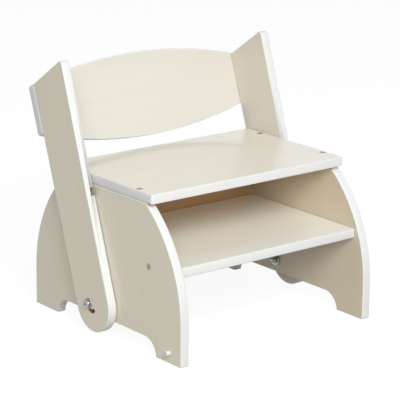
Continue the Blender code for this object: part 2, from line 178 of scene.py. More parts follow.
class Finishes(bpy.types.PropertyGroup):
    """Colours and gloss of the surfaces, with light or shade painted into several face tones"""
    plain: tint("Plain face", (0.736, 0.692, 0.574), "Outer faces of the leg panels and planks")
    # The backrest's tone is a darker copy of the plain face: painted shade.
    soft: tint("Soft face", (0.622, 0.605, 0.545), "The backrest")
    # The planks' inner tone is a darker copy of the plain face: painted shade.
    inner: tint("Plank inside", (0.66, 0.61, 0.52), "The planks' inner faces")
    # The seat's tone is a lighter copy of the plain face: painted light and sheen on its top.
    pale: tint("Pale face", (0.83, 0.794, 0.706), "The seat's face")
    # The shelf's tone is a much lighter copy of the plain face: painted light reaching into the stool.
    light: tint("Light face", (0.952, 0.96, 0.885), "The shelf's face")
    # The underside's brown is painted shade under the seat.
    under: tint("Underside", (0.62, 0.46, 0.29), "The seat's underside")
    # Painted shade: a darker, browner copy of the plywood for the leg panels' inner faces and the shelf's
    # underside.
    warm: tint("Warm face", (0.66, 0.585, 0.455), "Faces inside the stool")
    # Painted shadow: a deep brown for the back board's front, shaded by the seat.
    deep: tint("Deep face", (0.58, 0.35, 0.18), "The back board inside the stool")
    grain: tint("Grain", (0.92, 0.895, 0.85), "What the darker grain leaves of a face's colour")
    edge: tint("Edge", (0.712, 0.718, 0.71), "White paint on the boards' edges")
    bare: tint("Bare wood", (0.27, 0.155, 0.07), "Unpainted wood inside the slots and grooves")
    # The zinc is darker than the metal's own colour: a painted darker reflection of the surroundings.
    zinc: tint("Zinc", (0.42, 0.42, 0.41), "Bright zinc plate")
    # The recess colour is painted shade, near black.
    recess: tint("Recess", (0.07, 0.07, 0.08), "Shaded metal inside the cross recesses")
    nylon: tint("Nylon", (0.72, 0.74, 0.75), "Insert in the lock nuts")
    face_roughness: share("Face roughness", 0.38, "Roughness of the lacquered faces")
    lacquer_weight: share("Lacquer weight", 0.55, "Strength of the clear coat")
    lacquer_roughness: share("Lacquer roughness", 0.07, "Roughness of the clear coat")
    edge_roughness: share("Edge roughness", 0.34, "Roughness of the white paint")


class StudioSizes(bpy.types.PropertyGroup):
    """Camera, lamps and floor"""
    camera_place: FloatVectorProperty(name="Camera place", description="Where the camera stands",
                                      default=(-1.6222, -2.02603, 0.89515), subtype="XYZ", unit="LENGTH")
    camera_yaw: turn("Camera yaw", 38.6109, "Turn of the view to the right of the sitter's back")
    camera_pitch: turn("Camera pitch", -15.9176, "Tilt of the view")
    camera_roll: turn("Camera roll", 0.5947, "Roll of the view")
    focal: FloatProperty(name="Focal length", description="Lens in millimetres", default=182.08)
    world_level: share("World level", 0.35, "Light from all round")
    key_power: power("Key power", 23, "Main lamp, in front")
    low_power: power("Low power", 28, "Lower lamp in front")
    left_power: power("Left power", 38, "Lamp in front on the left")
    right_power: power("Right power", 5, "Lamp in front on the right")
    lamp_distance: length("Lamp distance", 3, "Distance of every lamp from the stool")
    lamp_aim: length("Lamp aim", 0.15, "Height that every lamp points at")
    floor_size: length("Floor size", 8, "Width of the floor")
    ground: tint("Ground", (0.38, 0.355, 0.32), "Colour of the floor that lights the chair from below")
    faint: tint("Shadow depth", (0.16, 0.16, 0.16), "What a shadow takes away from the floor that is seen")
    glow: share("Floor glow", 0.90, "What a shadow leaves of the floor that is seen")


# Shader building

class Value:
    """A shader socket that takes part in Python arithmetic."""

    def __init__(self, tree, socket):
        self.tree = tree
        self.socket = socket

    def _maths(self, operation, first, second):
        return self.tree.node("ShaderNodeMath", {"operation": operation}, {0: first, 1: second})

    def __add__(self, other):
        return self._maths("ADD", self, other)

    def __radd__(self, other):
        return self._maths("ADD", other, self)

    def __sub__(self, other):
        return self._maths("SUBTRACT", self, other)

    def __rsub__(self, other):
        return self._maths("SUBTRACT", other, self)

    def __mul__(self, other):
        return self._maths("MULTIPLY", self, other)

    def __rmul__(self, other):
        return self._maths("MULTIPLY", other, self)


class Tree:
    """The nodes of a material or of the world."""

    def __init__(self, owner):
        owner.use_nodes = True
        self.nodes = owner.node_tree.nodes
        self.links = owner.node_tree.links

    def node(self, kind, settings, sockets, output=0):
        """Adds a node, sets it, feeds its sockets and gives one of its outputs."""
        made = self.nodes.new(kind)
        for key, value in settings.items():
            setattr(made, key, value)
        for key, value in sockets.items():
            self.feed(made, key, value)
        return Value(self, made.outputs[output])

    def feed(self, node, key, value):
        """Links a value to a node's socket, or sets the socket to a plain number or colour."""
        if isinstance(value, Value):
            self.links.new(value.socket, node.inputs[key])
        else:
            node.inputs[key].default_value = value

    def seen(self):
        """A value of 1 where the camera looks, also by reflection or through glass, and else of 0."""
        camera, glossy, through = (self.node("ShaderNodeLightPath", {}, {}, f"Is {kind} Ray")
                                   for kind in ("Camera", "Glossy", "Transmission"))
        return camera + glossy + through


class Shader(Tree):
    """One material and the nodes that make it."""

    def __init__(self, name):
        self.material = bpy.data.materials.new(name)
        super().__init__(self.material)

    def principled(self, sockets):
        """Feeds the sockets of the surface, and gives the finished material."""
        for key, value in sockets.items():
            self.feed(self.nodes["Principled BSDF"], key, value)
        return self.material

    def place(self):
        """Object coordinates."""
        return self.node("ShaderNodeTexCoord", {}, {}, "Object")

    def noise(self, vector, scale, detail, roughness=0.5):
        """Soft noise between 0 and 1."""
        return self.node("ShaderNodeTexNoise", {}, {"Vector": vector, "Scale": scale, "Detail": detail,
                                                    "Roughness": roughness})

    def spread(self, value, low, high):
        """Maps a range of a value onto 0 to 1, held at its ends."""
        return self.node("ShaderNodeMapRange", {"clamp": True},
                         {"Value": value, "From Min": low, "From Max": high})

    def fine(self, scale, detail=2):
        """Noise of one scale all over a piece."""
        return self.noise(self.place(), scale, detail)

    def clouds(self, scale, detail, low=0.3, high=0.7):
        """Noise of one scale all over a piece, with more contrast."""
        return self.spread(self.fine(scale, detail), low, high)

    def grain(self, grain_turn, across, along, detail, low, high, roughness=0.5):
        """Noise drawn out along the grain, which Z follows once the piece's coordinates are turned."""
        upright = self.node("ShaderNodeMapping", {}, {"Vector": self.place(), "Rotation": grain_turn})
        scale = (across, across, along)
        drawn_out = self.node("ShaderNodeMapping", {}, {"Vector": upright, "Scale": scale})
        return self.spread(self.noise(drawn_out, 1.0, detail, roughness), low, high)

    def mix(self, factor, first, second):
        """A blend of two colours."""
        return self.node("ShaderNodeMix", {"data_type": "RGBA"}, {0: factor, 6: first, 7: second}, 2)

    def two_tone(self, name, level, mask):
        """A finish's colour, made darker or lighter by a level where a mask is 1."""
        colour = getattr(bpy.context.scene.chair_finishes, name)
        return self.mix(mask, opaque(colour), opaque(min(1, channel * level) for channel in colour))

    def bump(self, height, strength, distance):
        """A fine relief."""
        return self.node("ShaderNodeBump", {}, {"Height": height, "Strength": strength, "Distance": distance})


def opaque(colour):
    """A colour with its alpha."""
    return (*colour, 1.0)


def face_material(name, grain_turn, tone):
    """Pale plywood under a satin lacquer, its grain running one way; its tone may be a copy of the plain face
    with light or shade painted in.
    """
    looks = bpy.context.scene.chair_finishes
    face = getattr(looks, tone)
    dark = [channel * kept for channel, kept in zip(face, looks.grain)]
    shader = Shader(name)
    bands = shader.grain(grain_turn, across=26, along=2.4, detail=3, low=0.35, high=0.68)
    fibres = shader.grain(grain_turn, across=620, along=16, detail=4, low=0.38, high=0.66, roughness=0.6)
    pores = shader.grain(grain_turn, across=1500, along=95, detail=2, low=0.62, high=0.74)
    clouds = shader.grain(grain_turn, across=9, along=5, detail=2, low=0.3, high=0.7)

    # How much each layer of the grain darkens the face
    shade = 0.26 * bands + 0.22 * fibres + 0.20 * pores + 0.16 * clouds
    return shader.principled({
        "Base Color": shader.mix(shade, opaque(face), opaque(dark)),
        "Roughness": looks.face_roughness + 0.08 * (fibres - 0.5),
        "Coat Weight": looks.lacquer_weight,
        "Coat Roughness": looks.lacquer_roughness,
        "Normal": shader.bump(fibres + pores, strength=0.06, distance=0.0002),
    })


def edge_material(name):
    """White paint rolled on the boards' edges, over faint end grain."""
    shader = Shader(name)
    patches = shader.clouds(60, 3)
    return shader.principled({
        "Base Color": shader.two_tone("edge", 0.955, patches * 0.5),
        "Roughness": bpy.context.scene.chair_finishes.edge_roughness + 0.10 * patches,
        "Coat Weight": 0.15,
        "Coat Roughness": 0.2,
        "Normal": shader.bump(shader.fine(900), strength=0.05, distance=0.0002),
    })


def bare_material(name):
    """Unpainted wood left by the router inside the slots and grooves."""
    shader = Shader(name)
    return shader.principled({
        "Base Color": shader.two_tone("bare", 1.7, shader.clouds(700, 4, low=0.35)),
        "Roughness": 0.75,
    })


def zinc_material(name):
    """Bright zinc plate with a faint cloud of wear, its colour darkened as a painted darker reflection of the
    surroundings.
    """
    shader = Shader(name)
    wear = shader.clouds(350, 3)
    return shader.principled({
        "Base Color": shader.two_tone("zinc", 0.82, wear),
        "Metallic": 1.0,
        "Roughness": 0.22 + 0.14 * wear,
        "Normal": shader.bump(shader.fine(2500), strength=0.05, distance=0.0001),
    })


def recess_shade_material(name):
    """Painted shade inside the cross recesses: near-black metal where the recess is shaded."""
    shader = Shader(name)
    return shader.principled({
        "Base Color": shader.two_tone("recess", 0.6, shader.clouds(500, 2)),
        "Metallic": 0.5,
        "Roughness": 0.55,
    })


def nylon_material(name):
    """The lock nut's plastic insert."""
    shader = Shader(name)
    return shader.principled({
        "Base Color": shader.two_tone("nylon", 0.9, shader.clouds(400, 2)),
        "Roughness": 0.45,
    })


MAKERS = {"white edge paint": edge_material, "bare wood": bare_material, "bright zinc": zinc_material,
          "recess metal": recess_shade_material, "nylon insert": nylon_material}


def shared_material(name):
    """A material that several pieces share, made the first time that it is asked for."""
    return bpy.data.materials.get(name) or MAKERS[name](name)


def plywood(tone, grain):
    """Plywood of one tone, with its grain along X, upright or raked like the planks; all tones but the plain
    one have light or shade painted in.
    """
    turns = {"across": (0, -QUARTER, 0), "upright": (0, 0, 0),
             "raked": (bpy.context.scene.chair_planks.lean, 0, 0)}
    name = f"{tone} plywood, grain {grain}"
    return bpy.data.materials.get(name) or face_material(name, turns[grain], tone)


def board_materials(grain, tone="plain", inside="warm"):
    """A board's four materials, in the order of its slots."""
    # The last material is the inside face's tone, a darker copy of the plywood with painted shade.
    return (plywood(tone, grain), shared_material("white edge paint"), shared_material("bare wood"),
            plywood(inside, grain))


# Shapes

class Outline:
    """An outline drawn in a plane from point to point, straight or round a centre."""

    def __init__(self, x, y):
        self.work = bmesh.new()
        self.last = self.work.verts.new((x, y, 0))

    def line(self, x, y):
        """Draws straight to a point."""
        point = self.work.verts.new((x, y, 0))
        self.work.edges.new((self.last, point))
        self.last = point

    def arc(self, x, y, angle):
        """Draws round a centre."""
        steps = max(2, math.ceil(abs(angle) / bpy.context.scene.chair_boards.arc_step))
        made = bmesh.ops.spin(self.work, geom=[self.last], cent=(x, y, 0), axis=(0, 0, 1), dvec=(0, 0, 0),
                              angle=angle, steps=steps, use_duplicate=False)
        self.last = [item for item in made["geom_last"] if isinstance(item, bmesh.types.BMVert)][0]

    def corner(self, corner, after, radius):
        """Draws up to a corner and round it, towards the next point."""
        corner, after = Vector(corner), Vector(after)
        inward = (self.last.co.to_2d() - corner).normalized()
        outward = (after - corner).normalized()
        half = inward.angle(outward) / 2
        centre = corner + (inward + outward).normalized() * (radius / math.sin(half))
        first = corner + inward * (radius / math.tan(half))
        side = 1 if inward.cross(outward) < 0 else -1
        self.line(*first)
        self.arc(*centre, side * (math.pi - 2 * half))

    def board(self, thickness, rounding=True):
        """Closes the outline and makes it a board about its plane, with its edges rounded over."""
        work = self.work
        work.verts.ensure_lookup_table()
        first = work.verts[0]
        if (first.co - self.last.co).length > CLOSED_WITHIN:
            work.edges.new((self.last, first))
        bmesh.ops.remove_doubles(work, verts=work.verts, dist=OUTLINE_MERGE)
        bmesh.ops.contextual_create(work, geom=work.edges[:])
        made = bmesh.ops.extrude_face_region(work, geom=work.faces[:], use_keep_orig=True)
        raised = [item for item in made["geom"] if isinstance(item, bmesh.types.BMVert)]
        bmesh.ops.translate(work, verts=raised, vec=(0, 0, thickness))
        bmesh.ops.translate(work, verts=work.verts, vec=(0, 0, -thickness / 2))
        bmesh.ops.recalc_face_normals(work, faces=work.faces)
        if rounding:
            round_over(work, [edge for edge in work.edges if edge_run(edge) < thickness / 2])
        return work


def edge_run(edge, axis=Z):
    """How far an edge runs along an axis."""
    start, end = edge.verts
    return abs(start.co[axis] - end.co[axis])


def soften(work, edges, width, steps=2):
    """Rounds edges off."""
    bmesh.ops.bevel(work, geom=edges, offset=width, segments=steps, profile=0.5, affect="EDGES", material=-1,
                    clamp_overlap=True)


def round_over(work, edges):
    """Rounds a board's edges."""
    sizes = bpy.context.scene.chair_boards
    soften(work, edges, sizes.edge_round, sizes.edge_steps)


def paint_faces(work, axis, inside=0):
    """Sets a board's material slots: its edges, its broad faces and the one of them that is turned inside."""
    work.normal_update()
    for face in work.faces:
        towards = face.normal[axis]
        broad = abs(towards) > BROAD
        face.smooth = not broad
        face.material_index = EDGE
        if broad:
            # The face turned inside takes the darker copy with painted shade.
            face.material_index = PAINTED_SHADE_SLOT if towards * inside > 0 else FACE


def as_mesh(name, work, materials, place=None):
    """Turns a bmesh into a mesh that holds its place."""
    if place is not None:
        work.transform(place)
    mesh = bpy.data.meshes.new(name)
    work.to_mesh(mesh)
    work.free()
    for material in materials:
        mesh.materials.append(material)
    return mesh


def side_place(x):
    """Stands a drawing of (y, z) points in the plane at x."""
    return Matrix.Translation((x, 0, 0)) @ Matrix(((0, 0, 1), (1, 0, 0), (0, 1, 0))).to_4x4()


def axis_place(top, axis):
    """Puts a turned shape's top at a point, with its length running along an axis."""
    return Matrix.Translation(top) @ Vector((0, 0, -1)).rotation_difference(Vector(axis)).to_matrix().to_4x4()


def turned(profile):
    """Spins a profile of (radius, height) points about Z."""
    steps = bpy.context.scene.chair_fittings.turn_steps
    work = bmesh.new()
    points = [work.verts.new((radius, 0, height)) for radius, height in profile]
    edges = [work.edges.new(pair) for pair in zip(points, points[1:])]
    bmesh.ops.spin(work, geom=points + edges, cent=(0, 0, 0), axis=(0, 0, 1), dvec=(0, 0, 0),
                   angle=math.tau, steps=steps, use_merge=True)
    bmesh.ops.remove_doubles(work, verts=work.verts, dist=TURNED_MERGE)
    bmesh.ops.recalc_face_normals(work, faces=work.faces)
    for face in work.faces:
        face.smooth = True
    return work


def sharpened(mesh, degrees=32):
    """Marks a fitting's hard edges."""
    mesh.set_sharp_from_angle(angle=math.radians(degrees))
    return mesh


def turned_mesh(name, profile, material, place):
    """A turned fitting of one material, with its hard edges marked."""
    return sharpened(as_mesh(name, turned(profile), [shared_material(material)], place))


def recessed_mesh(name, profile, place, span, depth):
    """A turned metal fitting with a cross recess in its head."""
    mesh = as_mesh(name, turned(profile), [shared_material("bright zinc")], place)
    # The recess's walls take the near-black material, painted shade.
    cross = as_mesh("recess", cross_recess(span, depth), [shared_material("recess metal")], place)
    return sharpened(cut_mesh(mesh, [cross]))


def cut_mesh(mesh, cutters):
    """Takes the shapes of other meshes out of a mesh."""
    holder = bpy.data.objects.new("cutting", mesh)
    bpy.context.scene.collection.objects.link(holder)
    tools = []
    for cutter in cutters:
        tool = bpy.data.objects.new("cutter", cutter)
        bpy.context.scene.collection.objects.link(tool)
        boolean = holder.modifiers.new("cut", "BOOLEAN")
        boolean.operation = "DIFFERENCE"
        boolean.solver = "EXACT"
        boolean.material_mode = "TRANSFER"
        boolean.object = tool
        tools.append(tool)
    graph = bpy.context.evaluated_depsgraph_get()
    result = bpy.data.meshes.new_from_object(holder.evaluated_get(graph))
    result.name = mesh.name
    for tool in tools + [holder]:
        bpy.data.objects.remove(tool, do_unlink=True)
    return result


def screw_axes():
    """For each wood screw: the middle of its head, and the way that it points in."""
    rear_out = PlankView().rear_out
    head = bpy.context.scene.chair_fittings.screw_head
    axes = {}
    for node in sorted(name for name in frame["nodes"] if name.endswith("_screw")):
        low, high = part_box(node)
        middle = (low + high) / 2
        if "seat" in node:
            axes[node] = (Vector((middle.x, middle.y, high.z)), Vector((0, 0, -1)))
        elif "backrest" in node:
            axis = Vector((0, *-rear_out))
            reach = high.y - low.y - head * 2 * abs(axis.z)
            axes[node] = (middle - axis * (reach / abs(axis.y) / 2), axis)
        else:
            side = SIDES[node.split("_")[0]]
            axes[node] = (outer_end(node, side), Vector((-side, 0, 0)))
    return axes


def screw_sinks(words, material):
    """Countersunk holes for the screws whose names hold one of the words, as cutters."""
    sizes = bpy.context.scene.chair_fittings
    gap = bpy.context.scene.chair_boards.hole_gap
    head, shank = sizes.screw_head + gap, sizes.screw_shank + gap
    profile = [(0, CUTTER_RISE), (head, CUTTER_RISE), (head, -gap), (shank, -sizes.screw_sink),
               (shank, -sizes.screw_run), (0, -sizes.screw_run)]
    return [as_mesh("sink", turned(profile), [material], axis_place(top, axis))
            for node, (top, axis) in screw_axes().items() if any(word in node for word in words)]


def outer_end(node, side):
    """The middle of a side fitting's outer end."""
    low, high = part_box(node)
    return Vector((high.x if side > 0 else low.x, (low.y + high.y) / 2, (low.z + high.z) / 2))


def fitting_place(node, side):
    """Where a side fitting's outer end lies and which way it runs, with its length and its radius."""
    low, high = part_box(node)
    return axis_place(outer_end(node, side), (-side, 0, 0)), high.x - low.x, (high.z - low.z) / 2


def bore_cutter(node, side, material):
    """The hole in a leg panel for its bolt, which goes through, or for a peg, which ends inside."""
    gap = bpy.context.scene.chair_boards.hole_gap
    place, run, radius = fitting_place(node, side)
    radius = bore_radius() if "bolt" in node else radius + gap
    depth = run + gap
    return as_mesh("bore", turned([(0, 0), (radius, 0), (radius, -depth), (0, -depth)]), [material], place)


def bore_radius():
    """The inner radius of the washers and nuts."""
    scene = bpy.context.scene
    return scene.chair_fittings.bolt_diameter / 2 + scene.chair_boards.hole_gap


def add_piece(name, mesh, body, node):
    """Shows a piece that stands for a CAD node and rides on its body."""
    piece = bpy.data.objects.new(name, mesh)
    bpy.context.scene.collection.objects.link(piece)
    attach(piece, body)
    if node:
        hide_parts(node)


def middle_and_thickness(node):
    """Where an upright side board's middle plane lies, and how thick the board is."""
    low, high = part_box(node)
    return (low.x + high.x) / 2, high.x - low.x


class PlankView:
    """Points and directions in the side view of the planks, as (y, z)."""

    def __init__(self):
        sizes = bpy.context.scene.chair_planks
        joint = frame["joints"][0]
        self.pivot = Vector(joint["pos_m"][1:])
        self.swing = math.radians(max(joint["range_deg"]))
        self.up = Vector((math.sin(sizes.lean), math.cos(sizes.lean)))
        self.back = Vector((math.cos(sizes.lean), -math.sin(sizes.lean)))
        self.front = -self.pivot.y
        self.lobe = self.at(sizes.lobe_rise, sizes.lobe_radius + self.front)
        self.nose = self.at(sizes.nose_length, self.front)
        fall = sizes.top_width * math.tan(sizes.top_fall)
        self.rear = self.at(sizes.nose_length - fall, sizes.top_width + self.front)
        reach = self.rear - self.lobe
        heading = math.atan2(reach.y, reach.x) - math.acos(sizes.lobe_radius / reach.length)
        self.rear_out = Vector((math.cos(heading), math.sin(heading)))
        self.rear_start = self.lobe + self.rear_out * sizes.lobe_radius
        self.rear_up = (self.rear - self.rear_start).normalized()

    def at(self, along, back):
        """The (y, z) point at a length up the plank and a distance behind the pivot."""
        return self.pivot + self.up * along + self.back * back


def leg_board(thickness):
    """A leg panel: two feet, an arch between them and curved front and rear edges."""
    sizes = bpy.context.scene.chair_legs
    low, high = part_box("left_leg_panel")
    toe, heel, top = low.y, high.y, high.z
    arch_z = sizes.arch_height - sizes.arch_radius
    arch_reach = math.sqrt(sizes.arch_radius ** 2 - arch_z ** 2)
    arch_y = toe + sizes.foot_length + arch_reach
    arch_turn = math.atan2(-arch_z, -arch_reach) - QUARTER
    haunch_turn = 2 * math.atan2(sizes.haunch_setback, top - sizes.shin_height)
    haunch_y = toe + (top - sizes.shin_height) / math.sin(haunch_turn)
    toe_round = sizes.toe_round
    outline = Outline(arch_y, sizes.arch_height)
    outline.arc(arch_y, arch_z, arch_turn)
    outline.line(toe + toe_round, 0)
    outline.arc(toe + toe_round, toe_round, -QUARTER)
    outline.line(toe, sizes.shin_height)
    outline.arc(haunch_y, sizes.shin_height, -haunch_turn)
    outline.line(-outline.last.co.x, top)
    outline.arc(-haunch_y, sizes.shin_height, -haunch_turn)
    outline.line(heel, toe_round)
    outline.arc(heel - toe_round, toe_round, -QUARTER)
    outline.line(heel - sizes.foot_length, 0)
    outline.arc(-arch_y, arch_z, arch_turn)
    return outline.board(thickness)


def plank_board(view, thickness):
    """A side plank: a round lower end, a slightly widening shaft and a sloping top."""
    sizes = bpy.context.scene.chair_planks
    start = view.lobe - view.back * sizes.lobe_radius
    from_angle = math.atan2(-view.back.y, -view.back.x) - math.tau
    to_angle = math.atan2(view.rear_out.y, view.rear_out.x)
    outline = Outline(*start)
    outline.arc(*view.lobe, to_angle - from_angle)
    outline.corner(view.rear, view.nose, sizes.rear_round)
    outline.corner(view.nose, view.at(0, view.front), sizes.nose_round)
    return outline.board(thickness)


def slot_board(view, thickness):
    """The shape of the curved slot."""
    sizes = bpy.context.scene.chair_fittings
    half = sizes.slot_width / 2
    radius = sizes.bolt_offset
    span = view.swing + sizes.slot_spare
    start, end = (Vector((math.cos(angle), math.sin(angle)))
                  for angle in (sizes.bolt_rise - span, sizes.bolt_rise))
    outline = Outline(*(view.pivot + start * (radius + half)))
    outline.arc(*view.pivot, span)
    outline.arc(*(view.pivot + end * radius), math.pi)
    outline.arc(*view.pivot, -span)
    outline.arc(*(view.pivot + start * radius), math.pi)
    return outline.board(thickness, rounding=False)


def groove_board(view, thickness):
    """The shape of the groove that drops over the latch peg."""
    sizes = bpy.context.scene.chair_fittings
    half = sizes.groove_width / 2
    outside = view.front - sizes.groove_width
    inside = view.front + sizes.groove_reach - half
    low, high = sizes.groove_height - half, sizes.groove_height + half
    outline = Outline(*view.at(high, outside))
    outline.line(*view.at(low, outside))
    outline.line(*view.at(low, inside))
    outline.arc(*view.at(sizes.groove_height, inside), math.pi)
    return outline.board(thickness, rounding=False)


def backrest_board(thickness):
    """The backrest: long edges that bow outwards and small round corners."""
    sizes = bpy.context.scene.chair_planks
    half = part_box("backrest_board")[1].x
    bow = sizes.rest_bow
    radius = (half ** 2 + bow ** 2) / (bow * 2)
    spread = math.asin(half / radius)
    corner = sizes.rest_corner
    trim = math.asin(corner / radius)
    top_y = bow - sizes.rest_drop - radius
    bottom_y = bow - sizes.rest_drop - sizes.rest_height + radius

    def rim(centre_y, angle):
        return Vector((radius * math.cos(angle), centre_y + radius * math.sin(angle)))

    outline = Outline(*rim(bottom_y, trim - spread - QUARTER))
    for side, centre_y, other_y in ((1, bottom_y, top_y), (-1, top_y, bottom_y)):
        end = rim(centre_y, spread - side * QUARTER)
        opposite = rim(other_y, side * QUARTER - spread)
        outline.arc(0, centre_y, 2 * (spread - trim))
        outline.corner(end, opposite, corner)
        outline.corner(opposite, rim(other_y, side * QUARTER - spread + trim), corner)
    return outline.board(thickness)


def box_board(node, thin_axis, corner_round):
    """A plain board that fills a CAD node's box; its lower or front face is the inside one."""
    sizes = bpy.context.scene.chair_boards
    low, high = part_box(node)
    size = high - low
    work = bmesh.new()
    bmesh.ops.create_cube(work, size=1)
    bmesh.ops.scale(work, verts=work.verts, vec=size)
    bmesh.ops.translate(work, verts=work.verts, vec=(low + high) / 2)
    rims = work.edges[:]
    if corner_round:
        half = size[thin_axis] / 2
        corners = [edge for edge in work.edges if edge_run(edge, thin_axis) > half]
        soften(work, corners, corner_round, sizes.corner_steps)
        rims = [edge for edge in work.edges if edge_run(edge, thin_axis) <= half]
    round_over(work, rims)
    paint_faces(work, thin_axis, inside=-1)
    return work


def cross_recess(span, depth, arm_width=0.24, taper=0.55):
    """A cross-shaped recess, narrower at its bottom, as a cutter about its mouth."""
    arm, half = span / 2, span * arm_width / 2
    corners = [(arm, -half), (arm, half), (half, half)]
    for _ in range(3):
        corners += [(-y, x) for x, y in corners[-3:]]
    outline = Outline(*corners[0])
    for corner in corners[1:]:
        outline.line(*corner)
    work = outline.board(depth * 2, rounding=False)
    bottom = [vert for vert in work.verts if vert.co.z < 0]
    bmesh.ops.scale(work, verts=bottom, vec=(taper, taper, 1))
    return work


def thread(ridge, groove, first, pitch, turns):
    """Points of a threaded shank: a ridge and a groove by turns, from a first depth on."""
    return [(groove if i % 2 else ridge, -first - pitch * i) for i in range(turns)]


def quarter_turn(steps):
    """Evenly spaced angles from none to a quarter turn."""
    return [QUARTER * i / steps for i in range(steps + 1)]


# Operators

class CHAIR_OT_leg_panels(bpy.types.Operator):
    """Make the two leg panels"""
    bl_idname = "chair.leg_panels"
    bl_label = "Leg panels"

    def execute(self, context):
        # The leg panels' inner faces take the darker copy with painted shade for inside the stool.
        materials = board_materials("upright")
        for label, side in SIDES.items():
            node = label + "_leg_panel"
            middle, thickness = middle_and_thickness(node)
            work = leg_board(thickness)
            paint_faces(work, Z, -side)
            mesh = as_mesh(label + "_leg", work, materials, side_place(middle))
            screws = [f"{label}_{place}_" for place in ("front", "rear", "lower_back", "upper_back")]
            cutters = screw_sinks(screws, materials[BARE])
            for fitting in ("_pivot_bolt", "_latch_peg", "_stop_peg"):
                cutters.append(bore_cutter(label + fitting, side, materials[BARE]))
            add_piece(label + "_leg", cut_mesh(mesh, cutters), STOOL, node)
        return {"FINISHED"}


class CHAIR_OT_boards(bpy.types.Operator):
    """Make the seat, the shelf and the back board"""
    bl_idname = "chair.boards"
    bl_label = "Seat, shelf and back"

    def execute(self, context):
        corner = context.scene.chair_legs.seat_corner
        # The seat's and the shelf's faces are lighter copies with painted light. The seat's underside, the
        # shelf's underside and the back board's front inside the stool are darker copies with painted shade
        # and shadow.
        for name, thin_axis, corner_round, tone, inside in (
                ("seat", Z, corner, "pale", "under"), ("shelf", Z, 0, "light", "warm"),
                ("back", Y, 0, "plain", "deep")):
            node = name + "_board"
            materials = board_materials("across", tone, inside)
            mesh = as_mesh(name, box_board(node, thin_axis, corner_round), materials)
            if name == "seat":
                mesh = cut_mesh(mesh, screw_sinks(["seat"], materials[BARE]))
            add_piece(name, mesh, STOOL, node)
        return {"FINISHED"}


class CHAIR_OT_planks(bpy.types.Operator):
    """Make the two side planks with their slots and grooves"""
    bl_idname = "chair.planks"
    bl_label = "Side planks"

    def execute(self, context):
        # The planks' inner faces take a darker copy of the plywood, painted shade.
        materials = board_materials("raked", "plain", "inner")
        view = PlankView()
        depth = context.scene.chair_fittings.groove_depth
        for label, side in SIDES.items():
            node = label + "_side_plank"
            middle, thickness = middle_and_thickness(node)
            work = plank_board(view, thickness)
            paint_faces(work, Z, -side)
            mesh = as_mesh(label + "_plank", work, materials, side_place(middle))
            bare = [materials[BARE]]
            slot = as_mesh("slot", slot_board(view, thickness * 2), bare, side_place(middle))
            inner_face = middle - side * thickness / 2
            groove = as_mesh("groove", groove_board(view, depth * 2), bare, side_place(inner_face))
            add_piece(label + "_plank", cut_mesh(mesh, [slot, groove]), BACK_FRAME, node)
        return {"FINISHED"}


class CHAIR_OT_backrest(bpy.types.Operator):
    """Make the bowed backrest"""
    bl_idname = "chair.backrest"
    bl_label = "Backrest"

    def execute(self, context):
        sizes = context.scene.chair_planks
        view = PlankView()
        thickness = middle_and_thickness("left_side_plank")[1]
        up, out = view.rear_up, view.rear_out
        middle = view.rear + out * (sizes.rest_gap + thickness / 2)
        axes = Matrix(((1, 0, 0), (0, up.x, -out.x), (0, up.y, -out.y)))
        work = backrest_board(thickness)
        paint_faces(work, Z)
        place = Matrix.Translation((0, *middle)) @ axes.to_4x4()
        # The backrest's face takes a darker copy of the plain face, painted shade.
        materials = board_materials("across", "soft")
        mesh = as_mesh("backrest", work, materials, place)
        mesh = cut_mesh(mesh, screw_sinks(["backrest"], materials[BARE]))
        add_piece("backrest", mesh, BACK_FRAME, "backrest_board")
        return {"FINISHED"}


class CHAIR_OT_pegs(bpy.types.Operator):
    """Make the latch pegs and the stop pegs"""
    bl_idname = "chair.pegs"
    bl_label = "Pegs"

    def execute(self, context):
        for label, side in SIDES.items():
            for kind in ("latch", "stop"):
                node = f"{label}_{kind}_peg"
                place, run, radius = fitting_place(node, side)
                end = radius * context.scene.chair_fittings.peg_round
                profile = [(0, 0)]
                for a in quarter_turn(5):
                    profile.append((radius - end + end * math.sin(a), end * math.cos(a) - end))
                profile += [(radius, -run), (0, -run)]
                mesh = turned_mesh(node, profile, "white edge paint", place)
                add_piece(node + "_dowel", mesh, STOOL, node)
        return {"FINISHED"}


